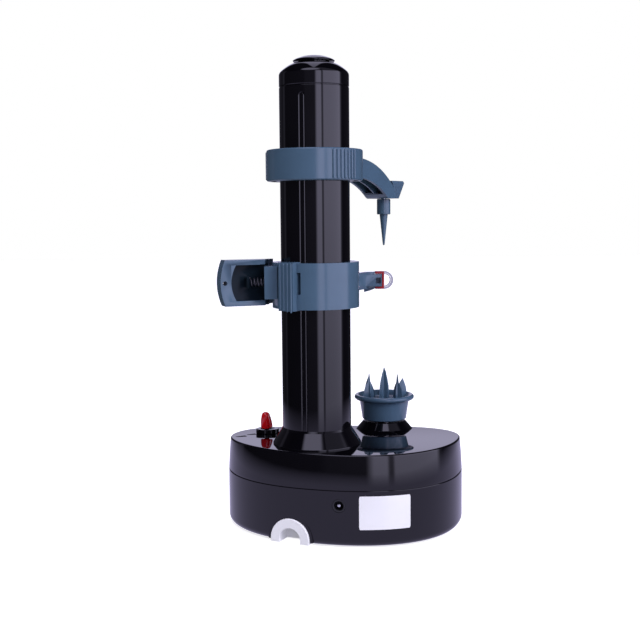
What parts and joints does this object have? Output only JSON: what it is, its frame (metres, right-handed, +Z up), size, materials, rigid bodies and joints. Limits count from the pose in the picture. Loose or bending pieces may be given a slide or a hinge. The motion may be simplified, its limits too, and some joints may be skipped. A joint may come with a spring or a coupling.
{
  "type": "electric potato peeler",
  "caption": "Countertop electric peeler: oval motor base, slotted column with lead screw, turning spiked food holder, sliding spike arm and a sprung blade carriage.",
  "frame": {"origin": "centre of the base outline, on the plane that the feet rest on", "axes": "+Z up along the column, +X to the right seen from the label side, +Y away from the label side"},
  "size_m": [0.1467, 0.1267, 0.28],
  "materials": {
    "black": "glossy black plastic",
    "slate": "slate blue-grey plastic with a soft sheen",
    "red": "glossy red plastic",
    "clear": "clear plastic guard",
    "steel": "bright steel",
    "blade_steel": "polished blade steel",
    "bronze": "sintered bronze",
    "gear_plastic": "white gear plastic",
    "white": "white plastic",
    "label": "bare silver-white label",
    "rubber": "black rubber",
    "dark": "dark plastic"
  },
  "bodies": {
    "housing": {"lower_shell": "black", "upper_shell": "black", "column_tube": "black", "tower_cap": "black", "cap_disc": "black", "spindle_collar": "black", "gear_plate": "steel", "screw_bushes": "bronze", "spindle_bushes": "bronze", "gear_axles": "steel", "motor_case": "steel", "dc_jack": "dark", "jack_pin": "steel", "switch_body": "dark", "switch_collar": "black", "rating_plate": "label", "rubber_feet": "rubber", "housing_screws": "steel", "plate_screws": "steel", "motor_screws": "steel"},
    "spindle": {"spindle_shaft": "steel", "spindle_gear": "gear_plastic", "spindle_clip": "steel", "food_holder": "slate"},
    "idler": {"idler_gear": "gear_plastic"},
    "screw": {"lead_screw": "steel", "screw_gear": "gear_plastic"},
    "compound": {"compound_gear": "gear_plastic"},
    "motor_rotor": {"motor_shaft": "steel", "motor_pinion": "bronze"},
    "holder_arm": {"upper_arm": "slate"},
    "top_spike": {"upper_spike": "slate", "spike_pin": "steel"},
    "carriage": {"carriage_ring": "slate", "hinge_pins": "steel", "release_spring": "steel", "arm_spring": "steel"},
    "lever": {"release_lever": "slate", "half_nut": "gear_plastic"},
    "blade_arm": {"peeling_arm": "slate", "blade_holder": "red", "blade": "blade_steel", "blade_guard": "clear"},
    "toggle": {"switch_lever": "red"},
    "thumb_knife": {"knife_grip": "white", "knife_blade": "blade_steel"}
  },
  "joints": [
    {"name": "spindle_spin", "type": "hinge", "parent": "housing", "child": "spindle", "pos_m": [0.0265, 0.032, 0.04], "axis": [0, 0, 1], "continuous": true},
    {"name": "idler_spin", "type": "hinge", "parent": "housing", "child": "idler", "pos_m": [0.00945, -0.00307, 0.0095], "axis": [0, 0, 1], "continuous": true},
    {"name": "screw_spin", "type": "hinge", "parent": "housing", "child": "screw", "pos_m": [-0.017, -0.026, 0.13], "axis": [0, 0, 1], "continuous": true},
    {"name": "compound_spin", "type": "hinge", "parent": "housing", "child": "compound", "pos_m": [0.0045, 0.032, 0.013], "axis": [0, 0, 1], "continuous": true},
    {"name": "motor_spin", "type": "hinge", "parent": "housing", "child": "motor_rotor", "pos_m": [-0.01528, 0.02901, 0.02], "axis": [0, 0, 1], "continuous": true},
    {"name": "holder_slide", "type": "slide", "parent": "housing", "child": "holder_arm", "axis": [0, 0, 1], "range_m": [-0.018, 0.031]},
    {"name": "spike_spin", "type": "hinge", "parent": "holder_arm", "child": "top_spike", "pos_m": [0.0265, 0.032, 0.195], "axis": [0, 0, 1], "continuous": true},
    {"name": "carriage_slide", "type": "slide", "parent": "housing", "child": "carriage", "axis": [0, 0, 1], "range_m": [-0.06, 0.014]},
    {"name": "release_lever", "type": "hinge", "parent": "carriage", "child": "lever", "pos_m": [-0.041, -0.008, 0.1485], "axis": [0, 0, 1], "range_deg": [0, 6], "stiffness_Nm_per_rad": 1.2, "springref_deg": -5.73, "deforming": ["release_spring"]},
    {"name": "arm_swing", "type": "hinge", "parent": "carriage", "child": "blade_arm", "pos_m": [0.0055, -0.0065, 0.148], "axis": [0, 0, 1], "range_deg": [0, 55], "stiffness_Nm_per_rad": 0.08, "springref_deg": -17.19, "deforming": ["arm_spring"]},
    {"name": "switch_toggle", "type": "hinge", "parent": "housing", "child": "toggle", "pos_m": [-0.0483, 0.01, 0.0505], "axis": [-0.9548, 0.2974, 0], "range_deg": [0, 26]},
    {"name": "knife_slide", "type": "slide", "parent": "housing", "child": "thumb_knife", "axis": [-0.4273, -0.9041, 0], "range_m": [0, 0.032]}
  ],
  "couplings": [
    {"joint": "idler_spin", "follows": "spindle_spin", "ratio": -0.69565},
    {"joint": "screw_spin", "follows": "spindle_spin", "ratio": 1.3333},
    {"joint": "compound_spin", "follows": "spindle_spin", "ratio": -2.6667},
    {"joint": "motor_spin", "follows": "spindle_spin", "ratio": 10.667}
  ]
}
